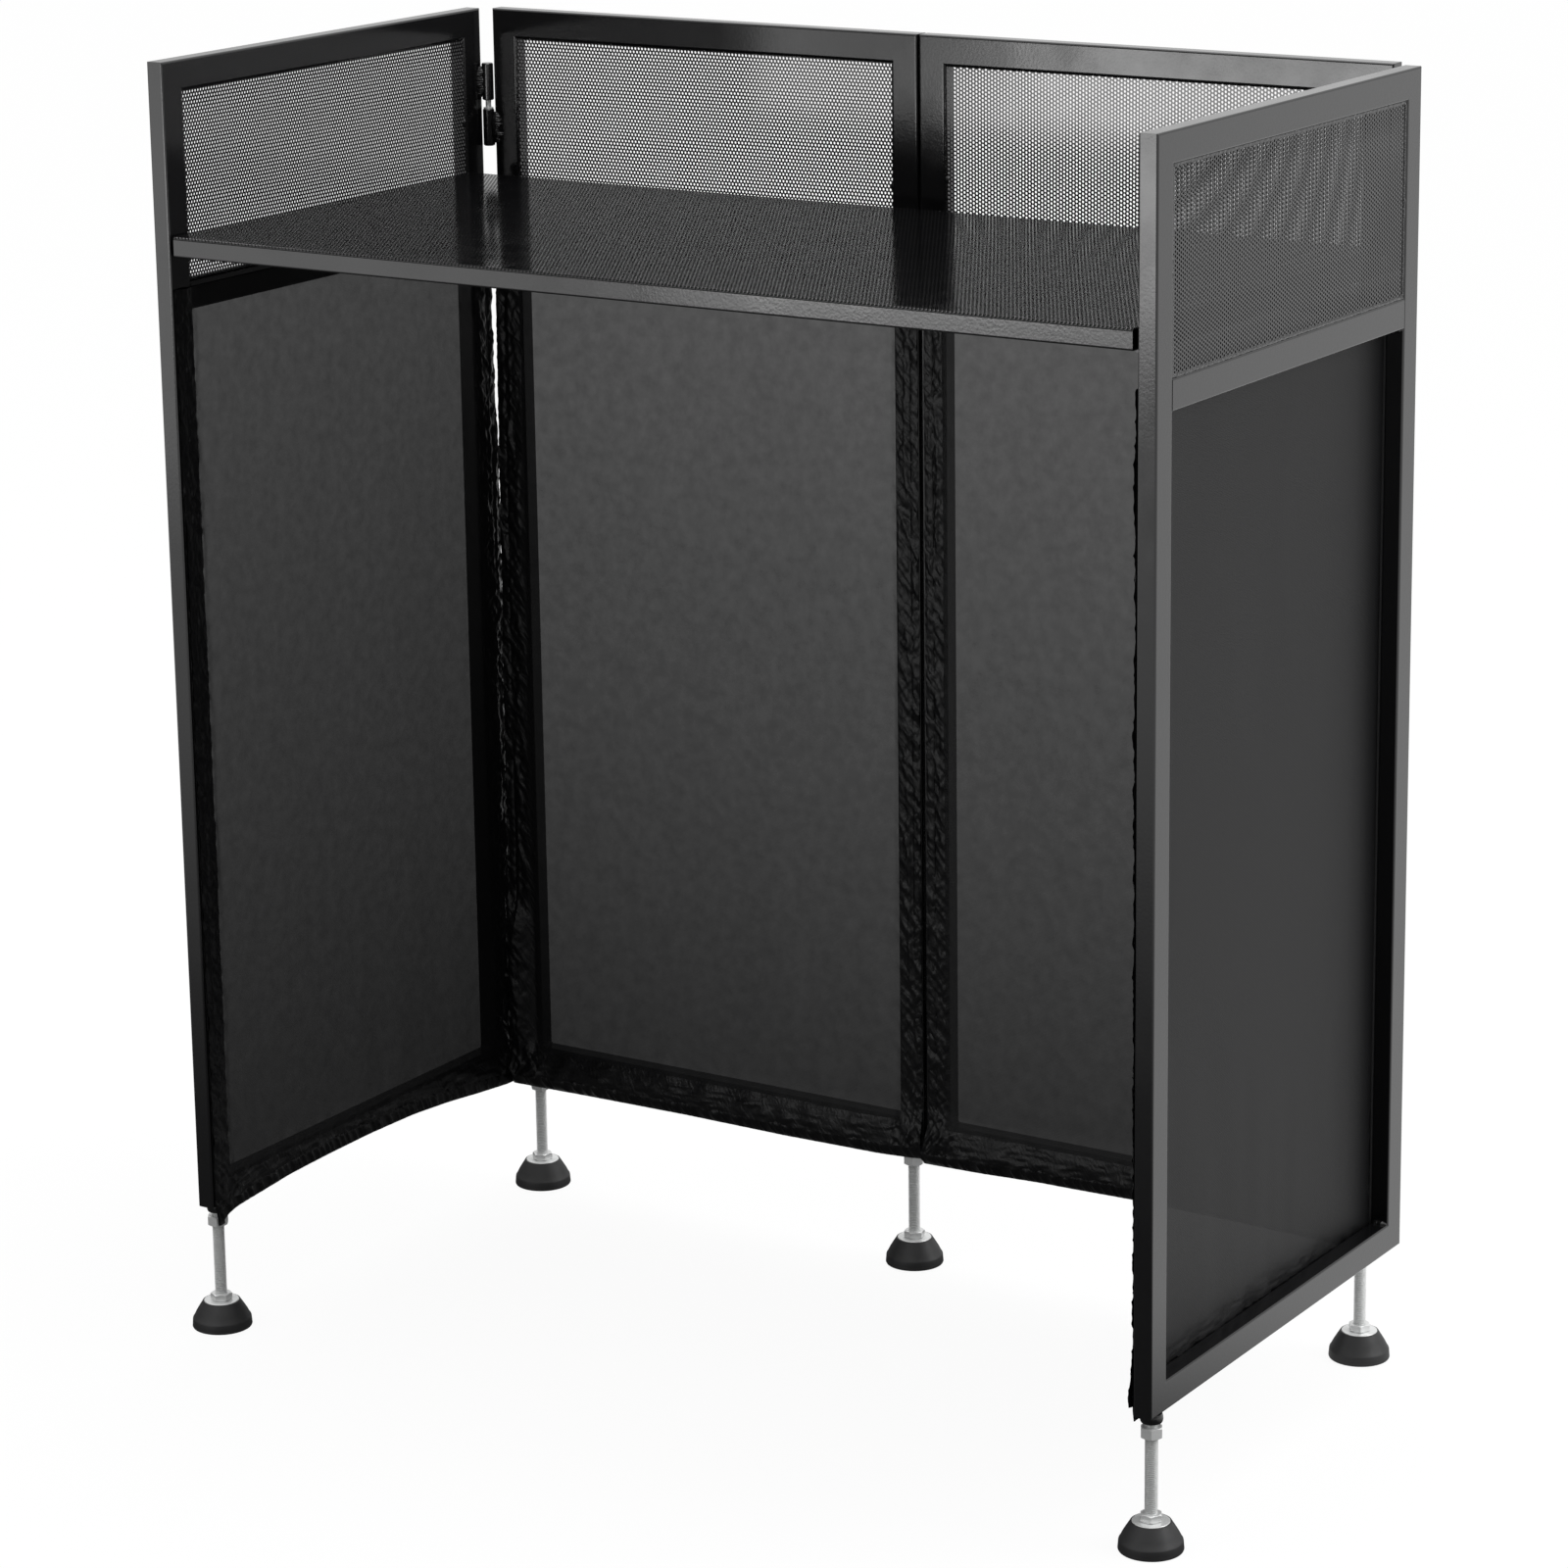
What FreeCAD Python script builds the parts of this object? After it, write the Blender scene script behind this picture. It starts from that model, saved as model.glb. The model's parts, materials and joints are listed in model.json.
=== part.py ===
# Folding booth: four hinged tube-frame panels with perforated windows and stretch scrims,
# a lift-out table and five screw feet. Millimetres.
# X runs to the right as the performer sees it, Y towards the audience and Z up.
# The origin is on the floor, in the middle of the footprint.
import FreeCAD, Part
import math
import os

# Panels: welded rectangular tube, 20 by 45 inches
panel_width = 508.0
panel_height = 1143.0
tube_face = 28.5
tube_depth = 18.5
tube_wall = 1.2
tube_radius = 2.0
window_height = 182.0
seam_gap = 2.5

# Perforated windows, set a little below the face they are welded to
mesh_thickness = 1.0
mesh_recess = 2.0

# The perforation is drawn as a plain grid: openings across a sheet and how much of each step is open
grid_columns = 12
grid_rows = 5
grid_open = 0.72

# Scrims: knitted cloth with a hem that hangs below the frame
scrim_thickness = 0.8
scrim_top_margin = 6.5
scrim_free_inset = 2.0
scrim_hinge_inset = 10.0
hem_drop = 20.0
hem_arch = 9.0
hem_crest = 1.0
hem_tip_length = 26.0
tape_width = 18.0
tape_thickness = 1.2
tape_margin = 2.0

# Weld-on lift-off hinges
barrel_radius = 6.0
barrel_length = 38.0
barrel_gap = 9.0
barrel_chamfer = 0.8
barrel_cap = 5.0
corner_setback = 4.0
hinge_from_top = 56.0
hinge_from_bottom = 60.0
pin_radius = 3.0
pin_fit = 0.05
pin_end_gap = 2.0
collar_radius = 5.2
collar_thickness = 1.5
bead_width = 6.0
bead_rise = 3.6
bead_end_margin = 3.0

# Table
table_over_rail = 26.0
table_depth = 478.0
table_side_gap = 4.75
table_sheet_thickness = 1.0
ledge_width = 12.0
ledge_thickness = 4.0
ledge_end_margin = 18.0

# Screw feet
stem_radius = 6.0
stem_fit = 0.05
stem_hole_clearance = 0.5
stem_reach = 45.0
stem_chamfer = 1.0
nut_flats = 19.0
base_nut_height = 7.0
lock_nut_height = 10.0
lock_nut_gap = 4.0
weld_collar_radius = 10.0
weld_collar_height = 9.0
pad_radius = 30.0
pad_rim = 10.0
pad_edge = 1.0
pad_top_radius = 19.0
pad_height = 27.5
plate_radius = 17.5
plate_thickness = 2.0
plate_stand = 0.5
plate_fit = 0.2
socket_fit = 0.3
socket_floor = 10.0
foot_drop = 131.0
foot_inset = 18.0

# Places that follow from those sizes
mid_rail_height = panel_height - window_height - 2 * tube_face
table_height = mid_rail_height + tube_face + table_over_rail + tube_depth + table_sheet_thickness
corner_gap = 2 * barrel_radius
front_end_x = seam_gap / 2 + panel_width
side_inner_x = front_end_x + corner_gap
near_y = -(foot_inset + panel_width + corner_setback + tube_depth / 2) / 2
far_y = near_y + panel_width
front_inner_y = far_y + corner_setback
front_outer_y = front_inner_y + tube_depth
corner_axis = (front_end_x + corner_gap / 2, far_y + corner_setback / 2)
centre_axis = (0.0, front_outer_y + barrel_radius)
table_half_width = side_inner_x - table_side_gap

os.makedirs("parts", exist_ok=True)


def vec(x, y, z):
    return FreeCAD.Vector(x, y, z)


def box(low, high):
    size = [b - a for a, b in zip(low, high)]
    return Part.makeBox(size[0], size[1], size[2], vec(*low))


def prism(points, height):
    wire = Part.makePolygon([vec(*p) for p in points + points[:1]])
    return Part.Face(wire).extrude(vec(*height))


def rod(radius, x, y, low, high):
    return Part.makeCylinder(radius, high - low, vec(x, y, low))


def rounded_bar(low, high, axis, radius):
    # A bar along one axis with its four long edges rounded.
    bar = box(low, high)
    long_edges = []
    for edge in bar.Edges:
        run = edge.Vertexes[1].Point - edge.Vertexes[0].Point
        if abs(run[axis]) > 0.5 * (high[axis] - low[axis]) and abs(run[axis]) > 0.99 * run.Length:
            long_edges.append(edge)
    return bar.makeFillet(radius, long_edges)


def tube(low, high, axis):
    # Square-ended hollow tube along one axis.
    inner_low = [v + tube_wall for v in low]
    inner_high = [v - tube_wall for v in high]
    inner_low[axis] = low[axis] - 1
    inner_high[axis] = high[axis] + 1
    outer = rounded_bar(low, high, axis, tube_radius)
    return outer.cut(rounded_bar(inner_low, inner_high, axis, tube_radius - tube_wall))


def open_grid(sheet, low, high, through, columns):
    # Opens a plain grid between two corners of a sheet, cutting along one axis.
    across, up = [n for n in range(3) if n != through]
    openings = []
    for column in range(columns):
        for row in range(grid_rows):
            start, end = list(low), list(high)
            for axis, place, count in ((across, column, columns), (up, row, grid_rows)):
                step = (high[axis] - low[axis]) / count
                start[axis] = low[axis] + (place + (1 - grid_open) / 2) * step
                end[axis] = start[axis] + grid_open * step
            start[through] -= 1
            end[through] += 1
            openings.append(box(start, end))
    return sheet.cut(openings)


def hexagon(flats, x, y, low, high):
    # Hexagonal prism with two flats facing along Y.
    corner = flats / 2 / math.cos(math.pi / 6)
    points = []
    for n in range(6):
        angle = n * math.pi / 3
        points.append((x + corner * math.cos(angle), y + corner * math.sin(angle), low))
    return prism(points, (0, 0, high - low))


def group(shapes):
    return shapes[0] if len(shapes) == 1 else Part.Compound(shapes)


def save(name, shapes):
    group(shapes).exportStep("parts/" + name + ".step")


# Panels, each drawn flat: x along its width, y from its inner face outwards, z up from its lower edge
def mitred(low, high, axis, outline):
    keep = prism([(x, -1, z) for x, z in outline], (0, tube_depth + 2, 0))
    return tube(low, high, axis).common(keep)


def panel_posts():
    w, h, f, d = panel_width, panel_height, tube_face, tube_depth
    left = mitred((0, 0, 0), (f, d, h), 2, [(0, 0), (0, h), (f, h - f), (f, f)])
    right = mitred((w - f, 0, 0), (w, d, h), 2, [(w, 0), (w - f, f), (w - f, h - f), (w, h)])
    return [left, right]


def panel_rails(foot_places):
    w, h, f, d = panel_width, panel_height, tube_face, tube_depth
    top = mitred((0, 0, h - f), (w, d, h), 0, [(0, h), (w, h), (w - f, h - f), (f, h - f)])
    bottom = mitred((0, 0, 0), (w, d, f), 0, [(0, 0), (f, f), (w - f, f), (w, 0)])
    for x in foot_places:
        bottom = bottom.cut(rod(stem_radius + stem_hole_clearance, x, d / 2, -1, tube_wall + 1))
    return [top, bottom]


def panel_mid_rail():
    low = (tube_face, 0, mid_rail_height)
    high = (panel_width - tube_face, tube_depth, mid_rail_height + tube_face)
    return [tube(low, high, 0)]


def panel_mesh(on_inner_face):
    start = mesh_recess if on_inner_face else tube_depth - mesh_recess - mesh_thickness
    low = (tube_face, start, mid_rail_height + tube_face)
    high = (panel_width - tube_face, start + mesh_thickness, panel_height - tube_face)
    return [open_grid(box(low, high), low, high, 1, grid_columns)]


def scrim_edges(hinged):
    # Distance of the scrim's left and right edges from the panel's own ends.
    return [scrim_hinge_inset if side in hinged else scrim_free_inset for side in ("low", "high")]


def panel_scrim(hinged, tip):
    # Flat cloth whose hem arches up between its corners and hangs as a pointed tip at a free end.
    inset = scrim_edges(hinged)
    left, right = inset[0], panel_width - inset[1]
    top = mid_rail_height + tube_face - scrim_top_margin
    middle = (left + right) / 2
    back, front = -tape_thickness, -tape_thickness - scrim_thickness
    left_point = vec(left, back, -hem_drop)
    right_point = vec(right, back, -hem_drop)
    hem_left, hem_right = left_point, right_point
    edges = []
    if tip == "low":
        hem_left = vec(left + hem_tip_length, back, -hem_arch)
        edges.append(Part.makeLine(left_point, hem_left))
    if tip == "high":
        hem_right = vec(right - hem_tip_length, back, -hem_arch)
    crest = vec(middle, back, hem_crest if tip else hem_arch / 6 - hem_drop)
    edges.append(Part.Arc(hem_left, crest, hem_right).toShape())
    if tip == "high":
        edges.append(Part.makeLine(hem_right, right_point))
    right_top = vec(right, back, top)
    left_top = vec(left, back, top)
    edges.append(Part.makeLine(right_point, right_top))
    edges.append(Part.makeLine(right_top, left_top))
    edges.append(Part.makeLine(left_top, left_point))
    face = Part.Face(Part.Wire(edges))
    return [face.extrude(vec(0, front - back, 0))]


def panel_tape(hinged):
    # Four strips of hook tape on the inner face, under the scrim's border.
    inset = [v + tape_margin for v in scrim_edges(hinged)]
    left, right = inset[0], panel_width - inset[1]
    low = tape_margin
    high = mid_rail_height + tube_face - scrim_top_margin - tape_margin
    strips = [
        box((left, -tape_thickness, low), (left + tape_width, 0, high)),
        box((right - tape_width, -tape_thickness, low), (right, 0, high)),
        box((left + tape_width, -tape_thickness, low), (right - tape_width, 0, low + tape_width)),
        box((left + tape_width, -tape_thickness, high - tape_width), (right - tape_width, 0, high)),
    ]
    return strips


def weld_collars(foot_places):
    collars = []
    for x in foot_places:
        body = rod(weld_collar_radius, x, tube_depth / 2, -weld_collar_height, 0)
        bore = rod(stem_radius + stem_fit, x, tube_depth / 2, -weld_collar_height - 1, 1)
        collars.append(body.cut(bore))
    return collars


def lock_nuts(foot_places):
    nuts = []
    high = -weld_collar_height - lock_nut_gap
    low = high - lock_nut_height
    for x in foot_places:
        body = hexagon(nut_flats, x, tube_depth / 2, low, high)
        bore = rod(stem_radius + stem_fit, x, tube_depth / 2, low - 1, high + 1)
        nuts.append(body.cut(bore))
    return nuts


near_end = foot_inset
far_end = panel_width - foot_inset
quarter_turn = 90.0
panels = {
    "left": dict(place=(-side_inner_x, near_y), turn=quarter_turn, mesh_inside=True,
                 hinged=("high",), tip="low", feet=[near_end]),
    "front_left": dict(place=(-front_end_x, front_inner_y), turn=0.0, mesh_inside=True,
                       hinged=("low",), tip=None, feet=[near_end, far_end]),
    "front_right": dict(place=(seam_gap / 2, front_inner_y), turn=0.0, mesh_inside=True,
                        hinged=("high",), tip=None, feet=[far_end]),
    "right": dict(place=(side_inner_x, far_y), turn=-quarter_turn, mesh_inside=False,
                  hinged=("low",), tip="high", feet=[far_end]),
}


def placed(shapes, panel):
    turn = FreeCAD.Rotation(vec(0, 0, 1), panel["turn"])
    placement = FreeCAD.Placement(vec(panel["place"][0], panel["place"][1], foot_drop), turn)
    return [shape.transformed(placement.toMatrix()) for shape in shapes]


for name, panel in panels.items():
    plural = "s" if len(panel["feet"]) > 1 else ""
    pieces = {
        "posts": panel_posts(),
        "rails": panel_rails(panel["feet"]),
        "mid_rail": panel_mid_rail(),
        "mesh": panel_mesh(panel["mesh_inside"]),
        "scrim": panel_scrim(panel["hinged"], panel["tip"]),
        "hook_tape": panel_tape(panel["hinged"]),
        "foot_collar" + plural: weld_collars(panel["feet"]),
        "lock_nut" + plural: lock_nuts(panel["feet"]),
    }
    for piece, shapes in pieces.items():
        save(name + "_" + piece, placed(shapes, panel))


# Hinges: a lower barrel with a shouldered pin, and an upper barrel that lifts off it
lower_barrels = [foot_drop + hinge_from_bottom,
                 foot_drop + panel_height - hinge_from_top - 2 * barrel_length - barrel_gap]
upper_step = barrel_length + barrel_gap


def bead(axis, along, inward, contact, low):
    # Weld bead from the barrel to a frame face: along runs down that face, inward points off it.
    def spot(a, b):
        x, y = [axis[n] + a * along[n] + b * inward[n] for n in range(2)]
        return (x, y, low + bead_end_margin)

    start, face = contact
    outline = [spot(0, 0), spot(start, face), spot(start + bead_width, face), spot(start, face + bead_rise)]
    return prism(outline, (0, 0, barrel_length - 2 * bead_end_margin))


def barrel(axis, low, weld):
    body = rod(barrel_radius, axis[0], axis[1], low, low + barrel_length)
    rims = [edge for edge in body.Edges if edge.Closed]
    return body.makeChamfer(barrel_chamfer, rims).fuse(bead(axis, low=low, **weld)).removeSplitter()


def lower_knuckles(axis, weld):
    bored = []
    for low in lower_barrels:
        bore = rod(pin_radius + pin_fit, axis[0], axis[1], low - 1, low + barrel_length + 1)
        bored.append(barrel(axis, low, weld).cut(bore))
    return bored


def upper_knuckles(axis, weld):
    bored = []
    for low in lower_barrels:
        start = low + upper_step
        bore = rod(pin_radius + pin_fit, axis[0], axis[1], start - 1, start + barrel_length - barrel_cap)
        bored.append(barrel(axis, start, weld).cut(bore))
    return bored


def hinge_pins(axis):
    pins = []
    for low in lower_barrels:
        top = low + upper_step + barrel_length - barrel_cap - pin_end_gap
        shank = rod(pin_radius, axis[0], axis[1], low + pin_end_gap, top)
        shoulder = low + barrel_length
        collar = rod(collar_radius, axis[0], axis[1], shoulder, shoulder + collar_thickness)
        pins.append(shank.fuse(collar).removeSplitter())
    return pins


def corner(side):
    # Axis and welds of the hinge at the left (-1) or right (1) corner.
    axis = (side * corner_axis[0], corner_axis[1])
    on_side_panel = dict(along=(0, -1), inward=(-side, 0),
                         contact=(corner_setback / 2 + tube_radius, -corner_gap / 2))
    on_front_panel = dict(along=(-side, 0), inward=(0, -1),
                          contact=(corner_gap / 2 + tube_radius, -corner_setback / 2))
    return axis, on_side_panel, on_front_panel


def centre(side):
    # Weld of the centre hinge on the left (-1) or right (1) front panel's outer face.
    return dict(along=(side, 0), inward=(0, 1), contact=(seam_gap / 2 + tube_radius, -barrel_radius))


left_axis, left_side_weld, left_front_weld = corner(-1)
right_axis, right_side_weld, right_front_weld = corner(1)
save("left_corner_knuckles", upper_knuckles(left_axis, left_side_weld))
save("front_left_corner_knuckles", lower_knuckles(left_axis, left_front_weld))
save("front_left_centre_knuckles", lower_knuckles(centre_axis, centre(-1)))
save("front_right_centre_knuckles", upper_knuckles(centre_axis, centre(1)))
save("front_right_corner_knuckles", lower_knuckles(right_axis, right_front_weld))
save("right_corner_knuckles", upper_knuckles(right_axis, right_side_weld))
save("front_left_hinge_pins", hinge_pins(left_axis) + hinge_pins(centre_axis))
save("front_right_hinge_pins", hinge_pins(right_axis))

# Table: flat tube frame under a perforated sheet, resting on a ledge of each side panel
table_top = foot_drop + table_height
rail_top = table_top - table_sheet_thickness
rail_low = rail_top - tube_depth
table_back_y = near_y + table_depth


def table_long_rails():
    rails = []
    for start in (near_y, table_back_y - tube_face):
        low = (-table_half_width, start, rail_low)
        high = (table_half_width, start + tube_face, rail_top)
        rails.append(tube(low, high, 0))
    return rails


def table_cross_rails():
    rails = []
    spread = table_half_width - tube_face / 2
    for x in (-spread, 0.0, spread):
        low = (x - tube_face / 2, near_y + tube_face, rail_low)
        high = (x + tube_face / 2, table_back_y - tube_face, rail_top)
        rails.append(tube(low, high, 1))
    return rails


def table_ledge(side):
    ends = sorted((side * side_inner_x, side * (side_inner_x - ledge_width)))
    low = (ends[0], near_y + ledge_end_margin, rail_low - ledge_thickness)
    high = (ends[1], far_y - ledge_end_margin, rail_low)
    return [box(low, high)]


def table_sheet():
    # Solid over the tubes and open between them.
    low = (-table_half_width, near_y, rail_top)
    high = (table_half_width, table_back_y, table_top)
    sheet = box(low, high)
    bay_start = tube_face / 2
    bay_end = table_half_width - tube_face
    for left, right in ((-bay_end, -bay_start), (bay_start, bay_end)):
        bay_low = (left, near_y + tube_face, rail_top)
        bay_high = (right, table_back_y - tube_face, table_top)
        sheet = open_grid(sheet, bay_low, bay_high, 2, grid_columns // 2)
    return [sheet]


save("table_long_rails", table_long_rails())
save("table_cross_rails", table_cross_rails())
save("table_sheet", table_sheet())
save("left_table_ledge", table_ledge(-1))
save("right_table_ledge", table_ledge(1))

# Screw feet
plate_low = pad_height - plate_thickness + plate_stand
plate_high = pad_height + plate_stand
socket_radius = stem_radius + socket_fit


def foot_pad(x, y):
    profile = [
        (0, 0), (pad_radius - pad_edge, 0), (pad_radius, pad_edge), (pad_radius, pad_rim),
        (pad_top_radius, pad_height - pad_edge), (pad_top_radius - pad_edge, pad_height),
        (plate_radius + plate_fit, pad_height), (plate_radius + plate_fit, plate_low),
        (socket_radius, plate_low), (socket_radius, socket_floor), (0, socket_floor),
    ]
    wire = Part.makePolygon([vec(x + r, y, z) for r, z in profile + profile[:1]])
    return [Part.Face(wire).revolve(vec(x, y, 0), vec(0, 0, 1), 360)]


def foot_plate(x, y):
    disc = rod(plate_radius, x, y, plate_low, plate_high)
    return [disc.cut(rod(socket_radius, x, y, plate_low - 1, plate_high + 1))]


def foot_stem(x, y):
    # Threaded rod with a hexagon fixed near its lower end.
    shank = rod(stem_radius, x, y, socket_floor + socket_fit, foot_drop + stem_reach)
    rims = [edge for edge in shank.Edges if edge.Closed]
    hexagonal = hexagon(nut_flats, x, y, plate_high, plate_high + base_nut_height)
    return [shank.makeChamfer(stem_chamfer, rims).fuse(hexagonal).removeSplitter()]


side_foot_x = side_inner_x + tube_depth / 2
front_foot_y = front_inner_y + tube_depth / 2
feet = {
    "near_left": (-side_foot_x, near_y + foot_inset),
    "far_left": (-front_end_x + foot_inset, front_foot_y),
    "centre": (-seam_gap / 2 - foot_inset, front_foot_y),
    "far_right": (front_end_x - foot_inset, front_foot_y),
    "near_right": (side_foot_x, near_y + foot_inset),
}
for name, (x, y) in feet.items():
    save(name + "_pad", foot_pad(x, y))
    save(name + "_plate", foot_plate(x, y))
    save(name + "_stem", foot_stem(x, y))

print("side panel inner face at x", side_inner_x, "near ends at y", near_y)
print("front panel inner face at y", front_inner_y)
print("corner hinge axis", corner_axis, "centre hinge axis", centre_axis)
print("table top", table_top, "panel top", foot_drop + panel_height)
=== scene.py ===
# Folding dj booth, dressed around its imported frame. Metres, +Y towards the audience, +Z up.
import json
import math
import bpy
import numpy as np
from mathutils import Matrix, Vector, noise


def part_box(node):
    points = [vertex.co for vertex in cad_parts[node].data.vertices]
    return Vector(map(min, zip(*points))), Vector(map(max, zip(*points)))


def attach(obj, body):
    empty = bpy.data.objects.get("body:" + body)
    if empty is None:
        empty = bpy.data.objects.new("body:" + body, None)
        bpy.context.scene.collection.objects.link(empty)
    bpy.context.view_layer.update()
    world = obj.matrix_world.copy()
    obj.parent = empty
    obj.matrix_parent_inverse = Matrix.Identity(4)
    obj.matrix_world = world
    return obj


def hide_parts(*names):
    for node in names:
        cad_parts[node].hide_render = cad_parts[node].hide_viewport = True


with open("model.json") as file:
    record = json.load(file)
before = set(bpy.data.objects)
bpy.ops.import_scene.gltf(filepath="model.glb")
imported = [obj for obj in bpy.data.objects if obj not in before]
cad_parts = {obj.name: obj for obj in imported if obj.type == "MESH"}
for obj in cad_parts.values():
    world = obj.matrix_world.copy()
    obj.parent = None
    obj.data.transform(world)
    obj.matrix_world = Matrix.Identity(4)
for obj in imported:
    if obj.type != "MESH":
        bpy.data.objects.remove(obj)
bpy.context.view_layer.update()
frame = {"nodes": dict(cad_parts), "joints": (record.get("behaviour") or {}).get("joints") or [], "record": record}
nodes = frame["nodes"]
scene = bpy.context.scene
mm = 0.001
print("frame loaded,", len(nodes), "nodes")

# Camera, light and floor
camera = {"place": (2.4424, -3.814, 1.8286), "heading": 32.135, "tilt": 75.705, "roll": -0.655,
          "sensor": 36, "lens": 111.75, "shift": (-0.03125, -0.0625)}
studio = {"room": 0.14, "sweep": 0.9, "worldLean": 0.5, "worldRange": (-0.3, 0.75),
          "ceiling": 1.35, "ceilingRange": (0.2, 0.75),
          "floorColour": "#ececec", "floorGlow": 0.93, "floorNear": 0.1, "floorFar": 1.0, "farRange": (0.9, 3.4),
          "floorLit": 1.2, "floorLean": 0.8, "litRange": (0.2, 1.0), "floorHalf": 30}
softboxes = {                      # place, what it faces, width, height, power in watts
    "frontSoftbox": ((-0.9, -3.3, 0.72), (0.0, 0.0, 0.85), 1.9, 0.42, 15),
    "leftSoftbox": ((-3.1, -3.3, 0.6), (-0.5, -0.3, 0.9), 1.5, 1.1, 6),
    "sideSoftbox": ((3.4, 0.9, 2.3), (0.4, 0.0, 0.6), 1.8, 2.2, 60),
    "topSoftbox": ((0.3, 0.6, 3.6), (0.2, 0.0, 0.8), 2.6, 2.0, 45),
}


def hexToLinear(text):
    parts = [int(text[i:i + 2], 16) / 255 for i in (1, 3, 5)]
    return [c / 12.92 if c <= 0.04045 else ((c + 0.055) / 1.055) ** 2.4 for c in parts] + [1.0]


def addNode(tree, kind, values=None, links=None, **settings):
    node = tree.nodes.new(kind)
    for key, value in settings.items():
        setattr(node, key, value)
    for key, value in (values or {}).items():
        node.inputs[key].default_value = value
    for key, source in (links or {}).items():
        tree.links.new(source, node.inputs[key])
    return node


eye = bpy.data.cameras.new("eye")
eye.sensor_width = camera["sensor"]
eye.lens = camera["lens"]
eye.shift_x, eye.shift_y = camera["shift"]
eyeObject = bpy.data.objects.new("eye", eye)
turn = (Matrix.Rotation(math.radians(camera["heading"]), 4, "Z")
        @ Matrix.Rotation(math.radians(camera["tilt"]), 4, "X")
        @ Matrix.Rotation(math.radians(camera["roll"]), 4, "Z"))
eyeObject.matrix_world = Matrix.Translation(camera["place"]) @ turn
scene.collection.objects.link(eyeObject)
scene.camera = eyeObject
scene.view_settings.view_transform = "Standard"

world = bpy.data.worlds.new("studio")
scene.world = world
world.use_nodes = True
tree = world.node_tree
tree.nodes.clear()
path = addNode(tree, "ShaderNodeLightPath")
# a white sweep behind the booth and a dimmer room on the performer's side
way = addNode(tree, "ShaderNodeTexCoord")
axes = addNode(tree, "ShaderNodeSeparateXYZ", links={0: way.outputs["Generated"]})
lean = addNode(tree, "ShaderNodeMath", {1: studio["worldLean"]},
               {0: axes.outputs["X"], 2: axes.outputs["Y"]}, operation="MULTIPLY_ADD")
near, far = studio["worldRange"]
around = addNode(tree, "ShaderNodeMapRange",
                 {"From Min": near, "From Max": far, "To Min": studio["room"], "To Max": studio["sweep"]},
                 {"Value": lean.outputs[0]}, interpolation_type="SMOOTHSTEP")
near, far = studio["ceilingRange"]
above = addNode(tree, "ShaderNodeMapRange",
                {"From Min": near, "From Max": far, "To Min": 0.0, "To Max": studio["ceiling"]},
                {"Value": axes.outputs["Z"]}, interpolation_type="SMOOTHSTEP")
brighter = addNode(tree, "ShaderNodeMath", links={0: around.outputs[0], 1: above.outputs[0]}, operation="MAXIMUM")
fill = addNode(tree, "ShaderNodeBackground", {"Color": (1, 1, 1, 1)}, {"Strength": brighter.outputs[0]})
white = addNode(tree, "ShaderNodeBackground", {"Color": (1, 1, 1, 1), "Strength": 1.0})
both = addNode(tree, "ShaderNodeMixShader",
               links={0: path.outputs["Is Camera Ray"], 1: fill.outputs[0], 2: white.outputs[0]})
addNode(tree, "ShaderNodeOutputWorld", links={"Surface": both.outputs[0]})

for name, (place, target, width, height, power) in softboxes.items():
    lamp = bpy.data.lights.new(name, "AREA")
    lamp.shape = "RECTANGLE"
    lamp.size, lamp.size_y, lamp.energy = width, height, power
    box = bpy.data.objects.new(name, lamp)
    box.location = place
    box.rotation_euler = (Vector(target) - Vector(place)).to_track_quat("-Z", "Y").to_euler()
    box.visible_camera = False
    scene.collection.objects.link(box)

floorMesh = bpy.data.meshes.new("floor")
far = studio["floorHalf"]
floorMesh.from_pydata([(-far, -far, 0), (far, -far, 0), (far, far, 0), (-far, far, 0)], [], [(0, 1, 2, 3)])
floor = bpy.data.objects.new("floor", floorMesh)
scene.collection.objects.link(floor)
paper = bpy.data.materials.new("studioPaper")
paper.use_nodes = True
tree = paper.node_tree
tree.nodes.clear()
path = addNode(tree, "ShaderNodeLightPath")
share = addNode(tree, "ShaderNodeMath", {1: studio["floorGlow"]},
                {0: path.outputs["Is Camera Ray"]}, operation="MULTIPLY")
matt = addNode(tree, "ShaderNodeBsdfDiffuse", {"Color": hexToLinear(studio["floorColour"])})
glow = addNode(tree, "ShaderNodeEmission", {"Color": (1, 1, 1, 1), "Strength": 1.0})
pale = addNode(tree, "ShaderNodeMixShader", links={0: share.outputs[0], 1: matt.outputs[0], 2: glow.outputs[0]})
# in the booth's reflections the floor follows the room: lit behind and to the right, dim close in front
spot = addNode(tree, "ShaderNodeTexCoord")
axes = addNode(tree, "ShaderNodeSeparateXYZ", links={0: spot.outputs["Object"]})
lean = addNode(tree, "ShaderNodeMath", {1: studio["floorLean"]},
               {0: axes.outputs["X"], 2: axes.outputs["Y"]}, operation="MULTIPLY_ADD")
near, far = studio["litRange"]
behind = addNode(tree, "ShaderNodeMapRange",
                 {"From Min": near, "From Max": far, "To Min": 0.0, "To Max": studio["floorLit"]},
                 {"Value": lean.outputs[0]}, interpolation_type="SMOOTHSTEP")
away = addNode(tree, "ShaderNodeVectorMath", links={0: spot.outputs["Object"]}, operation="LENGTH")
near, far = studio["farRange"]
before = addNode(tree, "ShaderNodeMapRange",
                 {"From Min": near, "From Max": far, "To Min": studio["floorNear"], "To Max": studio["floorFar"]},
                 {"Value": away.outputs["Value"]}, interpolation_type="SMOOTHSTEP")
brighter = addNode(tree, "ShaderNodeMath", links={0: behind.outputs[0], 1: before.outputs[0]}, operation="MAXIMUM")
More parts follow.
